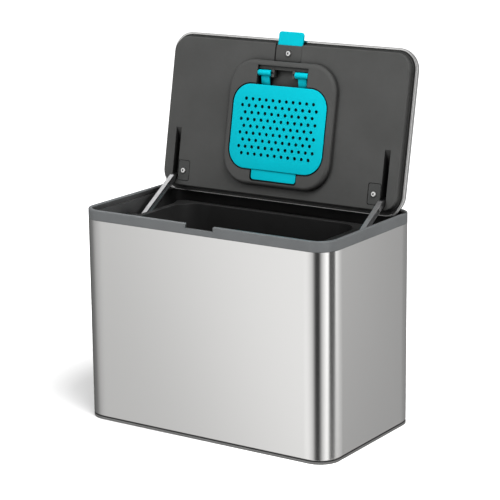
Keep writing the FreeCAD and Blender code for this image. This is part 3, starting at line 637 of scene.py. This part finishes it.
# Screws: a pan head with a cross recess, set out on the places of the frame's screws
screwShape = {"headRadius": 2.4, "headHeight": 1.5, "headRound": 0.5, "roundSteps": 7, "shank": 1.3,
              "tipShare": 0.7, "tipLength": 0.5, "crossLength": 2.3, "crossWidth": 1.1, "crossDepth": 1.2,
              "segments": 40, "twist": 3.0, "twistSeed": 7}


def screwBlank(length):
    radius, height, bow = screwShape["headRadius"], screwShape["headHeight"], screwShape["headRound"]
    shank, steps = screwShape["shank"], screwShape["roundSteps"]
    profile = [(shank * screwShape["tipShare"], -length), (shank, screwShape["tipLength"] - length),
               (shank, 0.0), (radius, 0.0)]
    for step in range(steps + 1):
        angle = step / steps * math.pi / 2
        profile.append((radius - bow + bow * math.cos(angle), height - bow + bow * math.sin(angle)))
    shell = bmesh.new()
    rows = []
    count = screwShape["segments"]
    for reach, level in profile:
        rows.append([shell.verts.new((reach * mm * math.cos(2 * math.pi * k / count),
                                      reach * mm * math.sin(2 * math.pi * k / count), level * mm))
                     for k in range(count)])
    for lower, upper in zip(rows, rows[1:]):
        for k in range(count):
            shell.faces.new((lower[k], lower[(k + 1) % count], upper[(k + 1) % count], upper[k]))
    shell.faces.new(tuple(reversed(rows[0])))
    shell.faces.new(tuple(rows[-1]))
    mesh = bpy.data.meshes.new("screwBlank")
    shell.to_mesh(mesh)
    shell.free()
    return addObject("screwBlank", mesh)


def screwTree():
    tree, start, end = geometryTree("screwSet", {"Blank": "Object", "Cross Length": "Float",
                                                 "Cross Width": "Float", "Cross Depth": "Float",
                                                 "Head Height": "Float", "Finish": "Material"})
    blank = addNode(tree, "GeometryNodeObjectInfo")
    connect(tree, start.outputs["Blank"], blank.inputs["Object"])
    depth = addNode(tree, "ShaderNodeMath", {1: 2.0}, operation="MULTIPLY")
    connect(tree, start.outputs["Cross Depth"], depth.inputs[0])
    lift = addNode(tree, "ShaderNodeCombineXYZ")
    connect(tree, start.outputs["Head Height"], lift.inputs["Z"])
    both = addNode(tree, "GeometryNodeJoinGeometry")
    for first, second in (("Cross Length", "Cross Width"), ("Cross Width", "Cross Length")):
        size = addNode(tree, "ShaderNodeCombineXYZ")
        connect(tree, start.outputs[first], size.inputs["X"])
        connect(tree, start.outputs[second], size.inputs["Y"])
        connect(tree, depth.outputs[0], size.inputs["Z"])
        bar = addNode(tree, "GeometryNodeMeshCube")
        connect(tree, size.outputs[0], bar.inputs["Size"])
        raised = addNode(tree, "GeometryNodeTransform")
        connect(tree, bar.outputs["Mesh"], raised.inputs["Geometry"])
        connect(tree, lift.outputs[0], raised.inputs["Translation"])
        connect(tree, raised.outputs[0], both.inputs[0])
    cut = addNode(tree, "GeometryNodeMeshBoolean", {"Self Intersection": True}, operation="DIFFERENCE",
                  solver="EXACT")
    connect(tree, blank.outputs["Geometry"], cut.inputs["Mesh 1"])
    connect(tree, both.outputs[0], cut.inputs["Mesh 2"])
    way = addNode(tree, "GeometryNodeInputNamedAttribute", {"Name": "headWay"}, data_type="FLOAT_VECTOR")
    aim = addNode(tree, "FunctionNodeAlignRotationToVector", axis="Z")
    connect(tree, way.outputs["Attribute"], aim.inputs["Vector"])
    copies = addNode(tree, "GeometryNodeInstanceOnPoints")
    connect(tree, start.outputs["Geometry"], copies.inputs["Points"])
    connect(tree, cut.outputs["Mesh"], copies.inputs["Instance"])
    connect(tree, aim.outputs["Rotation"], copies.inputs["Rotation"])
    twist = addNode(tree, "FunctionNodeRandomValue", {"Seed": screwShape["twistSeed"]},
                    data_type="FLOAT_VECTOR")
    twist.inputs["Min"].default_value = (0.0, 0.0, 0.0)
    twist.inputs["Max"].default_value = (0.0, 0.0, screwShape["twist"])
    turned = addNode(tree, "GeometryNodeRotateInstances")
    connect(tree, copies.outputs[0], turned.inputs["Instances"])
    connect(tree, twist.outputs[0], turned.inputs["Rotation"])
    real = addNode(tree, "GeometryNodeRealizeInstances")
    connect(tree, turned.outputs[0], real.inputs[0])
    coat = addNode(tree, "GeometryNodeSetMaterial")
    connect(tree, real.outputs[0], coat.inputs["Geometry"])
    connect(tree, start.outputs["Finish"], coat.inputs["Material"])
    connect(tree, coat.outputs[0], end.inputs["Geometry"])
    return tree


# Separate solids of a frame node, each as a list of points, with corners this near, in metres, taken as one
weldReach = 0.00001


def islands(node):
    shell = bmesh.new()
    shell.from_mesh(nodes[node].data)
    bmesh.ops.remove_doubles(shell, verts=shell.verts, dist=weldReach)
    left = set(shell.verts)
    found = []
    while left:
        todo = [left.pop()]
        group = []
        while todo:
            here = todo.pop()
            group.append(here.co.copy())
            for edge in here.link_edges:
                other = edge.other_vert(here)
                if other in left:
                    left.remove(other)
                    todo.append(other)
        found.append(group)
    shell.free()
    return found


# Seats of the screws: the plane under each head, found from the solid's two ends along the head's way
def screwSeats(node, wayOf):
    seats = []
    for group in islands(node):
        middle = sum(group, Vector()) / len(group)
        way = wayOf(middle)
        along = [point.dot(way) for point in group]
        across = [point - way * point.dot(way) for point in group]
        low = Vector([min(p[axis] for p in across) for axis in range(3)])
        high = Vector([max(p[axis] for p in across) for axis in range(3)])
        top = max(along) - screwShape["headHeight"] * mm
        seats.append(((low + high) / 2 + way * top, way, (max(along) - min(along)) / mm))
    return seats


def screwSet(name, seats, body, replaced):
    mesh = bpy.data.meshes.new(name)
    mesh.from_pydata([place for place, way, length in seats], [], [])
    layer = mesh.attributes.new("headWay", "FLOAT_VECTOR", "POINT")
    for index, (place, way, length) in enumerate(seats):
        layer.data[index].vector = way
    piece = addObject(name, mesh)
    blank = screwBlank(seats[0][2] - screwShape["headHeight"])
    bake(piece, screwRows, {"Blank": blank, "Cross Length": screwShape["crossLength"] * mm,
                            "Cross Width": screwShape["crossWidth"] * mm,
                            "Cross Depth": screwShape["crossDepth"] * mm,
                            "Head Height": screwShape["headHeight"] * mm,
                            "Finish": finishes["platedSteel"]})
    bpy.data.objects.remove(blank)
    softEdges(piece.data)
    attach(piece, body)
    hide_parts(*replaced)


screwRows = screwTree()
outOfLid = openLid.to_3x3() @ Vector((0.0, 0.0, -1.0))
lidSeats = []
for node in ("hinge_plate_screws", "tab_screw"):
    lidSeats += screwSeats(node, lambda middle: outOfLid)
screwSet("lidScrews", lidSeats, "lid", ("hinge_plate_screws", "tab_screw"))
armSeats = screwSeats("arm_screws", lambda middle: Vector((-1.0 if middle.x > 0 else 1.0, 0.0, 0.0)))
screwSet("armScrews", armSeats, "bin", ("arm_screws",))
print("screws made:", len(lidSeats) + len(armSeats))


# Vent cover: a perforated panel with a finger tab and two hooks, drawn closed
cover = {"width": 99.6, "length": 77.2, "centreY": 6.6, "radius": 18.0, "face": 183.8, "back": 185.6,
         "edgeRound": 0.6, "steps": 14, "ventPitch": 7.2, "ventMargin": 8.0, "ventFace": 1.62,
         "ventBack": 1.5, "ventSides": 24, "ventSpare": 0.4, "tabWidth": 48.0, "tabLength": 9.2,
         "tabRound": 3.0, "tabFace": 184.8, "tabBack": 186.2, "tabRoot": 5.0, "rodY": -43.0, "rodZ": 186.5,
         "hookOuter": 2.88, "hookInner": 1.38, "hookWidth": 13.6, "hookSteps": 36,
         "hookCentre": 19.8, "mouthStart": 180.0, "mouthEnd": 490.2, "lugFront": -31.2, "lugRear": -28.4,
         "lugDeep": 190.6, "strutWall": 1.5, "strutWidth": 9.0, "strutSink": 0.2, "hookBevel": 0.25,
         "bevelSteps": 2, "bevelBow": 0.5}


# Slab with rounded corners and a soft edge round its face, the lower of its two levels
slabEdgeSteps = 5


def softSlab(width, length, radius, centreY, face, back, bow, steps):
    def loopAt(inset):
        return easedLoop(width - 2 * inset, length - 2 * inset, radius - inset, circlePower, steps, centreY)

    profile = [(0.0, back)] + [(inset, 2 * (face + bow) - level)
                               for inset, level in bendPoints(bow, face + bow, bow, 0, 90, slabEdgeSteps)]
    points, faces, uvs = sweptShell(loopAt, profile, False)
    return points, faces


def ventPlaces():
    pitch, margin = cover["ventPitch"], cover["ventMargin"]
    rowPitch = pitch * math.sqrt(3) / 2
    corner = cover["radius"] - margin
    reachX = cover["width"] / 2 - margin
    reachY = cover["length"] / 2 - margin
    rows = int(reachY / rowPitch)
    columns = int(reachX / pitch) + 1
    places = []
    for row in range(-rows, rows + 1):
        for column in range(-columns, columns + 1):
            x = (column + row % 2 / 2) * pitch
            y = row * rowPitch
            past = math.hypot(max(abs(x) - reachX + corner, 0.0), max(abs(y) - reachY + corner, 0.0))
            if past <= corner:
                places.append((x, cover["centreY"] + y))
    return places


def ventTree():
    tree, start, end = geometryTree("ventRows", {"Vents": "Object", "Face Radius": "Float",
                                                 "Back Radius": "Float", "Depth": "Float",
                                                 "Finish": "Material"})
    places = addNode(tree, "GeometryNodeObjectInfo")
    connect(tree, start.outputs["Vents"], places.inputs["Object"])
    cutter = addNode(tree, "GeometryNodeMeshCone", {"Vertices": cover["ventSides"]})
    connect(tree, start.outputs["Face Radius"], cutter.inputs["Radius Bottom"])
    connect(tree, start.outputs["Back Radius"], cutter.inputs["Radius Top"])
    connect(tree, start.outputs["Depth"], cutter.inputs["Depth"])
    copies = addNode(tree, "GeometryNodeInstanceOnPoints")
    connect(tree, places.outputs["Geometry"], copies.inputs["Points"])
    connect(tree, cutter.outputs["Mesh"], copies.inputs["Instance"])
    real = addNode(tree, "GeometryNodeRealizeInstances")
    connect(tree, copies.outputs[0], real.inputs[0])
    cut = addNode(tree, "GeometryNodeMeshBoolean", operation="DIFFERENCE", solver="EXACT")
    connect(tree, start.outputs["Geometry"], cut.inputs["Mesh 1"])
    connect(tree, real.outputs[0], cut.inputs["Mesh 2"])
    coat = addNode(tree, "GeometryNodeSetMaterial")
    connect(tree, cut.outputs["Mesh"], coat.inputs["Geometry"])
    connect(tree, start.outputs["Finish"], coat.inputs["Material"])
    connect(tree, coat.outputs[0], end.inputs["Geometry"])
    return tree


# Prism along X with small bevels, from an outline of (y, z) points
def hookPrism(shell, outline, lowX, highX):
    near = [shell.verts.new((lowX * mm, y * mm, z * mm)) for y, z in outline]
    far = [shell.verts.new((highX * mm, y * mm, z * mm)) for y, z in outline]
    made = [shell.faces.new(near), shell.faces.new(tuple(reversed(far)))]
    for index in range(len(outline)):
        after = (index + 1) % len(outline)
        made.append(shell.faces.new((near[after], near[index], far[index], far[after])))
    bmesh.ops.recalc_face_normals(shell, faces=made)
    sharp = [edge for edge in {edge for face in made for edge in face.edges}
             if edge.calc_face_angle(0.0) > math.radians(creaseAngle)]
    bmesh.ops.bevel(shell, geom=sharp, offset=cover["hookBevel"] * mm, segments=cover["bevelSteps"],
                    affect="EDGES", profile=cover["bevelBow"])


def hookOutlines():
    outer, inner = [], []
    rodY, rodZ, steps = cover["rodY"], cover["rodZ"], cover["hookSteps"]
    sweep = cover["mouthEnd"] - cover["mouthStart"]
    for step in range(steps + 1):
        angle = math.radians(cover["mouthStart"] + sweep * step / steps)
        for points, radius in ((outer, cover["hookOuter"]), (inner, cover["hookInner"])):
            points.append((rodY + radius * math.cos(angle), rodZ + radius * math.sin(angle)))
    root = (cover["face"] + cover["back"]) / 2
    strut = [(rodY, rodZ + cover["hookOuter"] - cover["strutSink"]),
             (rodY + cover["hookOuter"] - cover["strutSink"], rodZ),
             (cover["lugFront"], cover["lugDeep"] - cover["strutWall"]), (cover["lugFront"], root),
             (cover["lugRear"], root), (cover["lugRear"], cover["lugDeep"])]
    return outer + list(reversed(inner)), strut


def filterCover():
    points, faces = softSlab(cover["width"], cover["length"], cover["radius"], cover["centreY"],
                             cover["face"], cover["back"], cover["edgeRound"], cover["steps"])
    piece = addMesh("filterCover", points, faces, "tealPlastic")
    outward(piece)
    spare = cover["ventSpare"]
    marks = bpy.data.meshes.new("ventMarks")
    marks.from_pydata([(x * mm, y * mm, (cover["face"] - spare) * mm) for x, y in ventPlaces()], [], [])
    vents = addObject("ventMarks", marks)
    bake(piece, ventTree(), {"Vents": vents, "Face Radius": cover["ventFace"] * mm,
                             "Back Radius": cover["ventBack"] * mm,
                             "Depth": (cover["back"] - cover["face"] + 2 * spare) * mm,
                             "Finish": finishes["tealPlastic"]})
    bpy.data.objects.remove(vents)
    shell = bmesh.new()
    shell.from_mesh(piece.data)
    for outline, width in zip(hookOutlines(), (cover["hookWidth"], cover["strutWidth"])):
        for side in (-1, 1):
            lowX = side * cover["hookCentre"] - width / 2
            hookPrism(shell, outline, lowX, lowX + width)
    length = cover["tabLength"] + cover["tabRoot"]
    rear = cover["centreY"] + cover["length"] / 2 + cover["tabLength"]
    points, faces = softSlab(cover["tabWidth"], length, cover["tabRound"], rear - length / 2,
                             cover["tabFace"], cover["tabBack"], cover["edgeRound"] / 2, cover["steps"])
    corners = [shell.verts.new(Vector(p) * mm) for p in points]
    made = [shell.faces.new([corners[index] for index in face]) for face in faces]
    bmesh.ops.recalc_face_normals(shell, faces=made)
    shell.to_mesh(piece.data)
    shell.free()
    piece.data.transform(openLid)
    softEdges(piece.data)
    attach(piece, "filter_cover")
    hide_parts("filter_cover")
    print("vent cover made:", len(piece.data.polygons), "faces")


filterCover()

# Carbon pad with an uneven needled face
pad = {"width": 88.0, "length": 65.6, "centreY": 6.6, "radius": 12.2, "face": 186.0, "back": 194.0,
       "edgeRound": 1.2, "crease": 60, "steps": 8, "grid": 1.6, "uneven": 0.5, "faceSpare": 0.05,
       "longWave": 4.0, "shortWave": 1.7, "lift": 0.75}


def carbonPad():
    points, faces = softSlab(pad["width"], pad["length"], pad["radius"], pad["centreY"], pad["face"],
                             pad["back"], pad["edgeRound"], pad["steps"])
    piece = addMesh("carbonPad", points, faces, "carbonFelt", angle=pad["crease"])
    outward(piece)
    shell = bmesh.new()
    shell.from_mesh(piece.data)
    for way, reach, centre in ((Vector((1, 0, 0)), pad["width"], 0.0),
                               (Vector((0, 1, 0)), pad["length"], pad["centreY"])):
        count = int(reach / pad["grid"])
        for index in range(1, count):
            spot = way * ((centre - reach / 2 + reach * index / count) * mm)
            bmesh.ops.bisect_plane(shell, geom=shell.verts[:] + shell.edges[:] + shell.faces[:],
                                   plane_co=spot, plane_no=way)
    for vert in shell.verts:
        if vert.co.z < (pad["face"] + pad["faceSpare"]) * mm:
            long = noise.noise(vert.co / (pad["longWave"] * mm))
            short = noise.noise(vert.co / (pad["shortWave"] * mm))
            vert.co.z += pad["uneven"] * mm * (pad["lift"] + (long + short / 2) / 2)
    shell.to_mesh(piece.data)
    shell.free()
    piece.data.transform(openLid)
    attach(piece, "lid")
    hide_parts("carbon_filter")


carbonPad()
print("carbon pad made")

# Pieces of the frame that are only painted
cadFinishes = {
    "base_plate": "basePlastic", "rim_trim": "rimPlastic", "rim_frame": "framePlastic",
    "inner_bucket": "bucketPlastic", "hinge_arm_left": "armMetal", "hinge_arm_right": "armMetal",
    "lid_liner": "linerPlastic", "hinge_plate_left": "platePlastic", "hinge_plate_right": "platePlastic",
    "hinge_pin_left": "platedSteel", "hinge_pin_right": "platedSteel", "pull_tab": "tealPlastic",
    # The filter's hinge rod gets the darkened steel that paints its shade in the hook recess
    "tab_retainer": "linerPlastic", "filter_hinge_rod": "shadedRodSteel",
}
for node, finish in cadFinishes.items():
    paint(node, finish)
print("frame painted:", len(cadFinishes), "nodes")

bpy.context.view_layer.update()
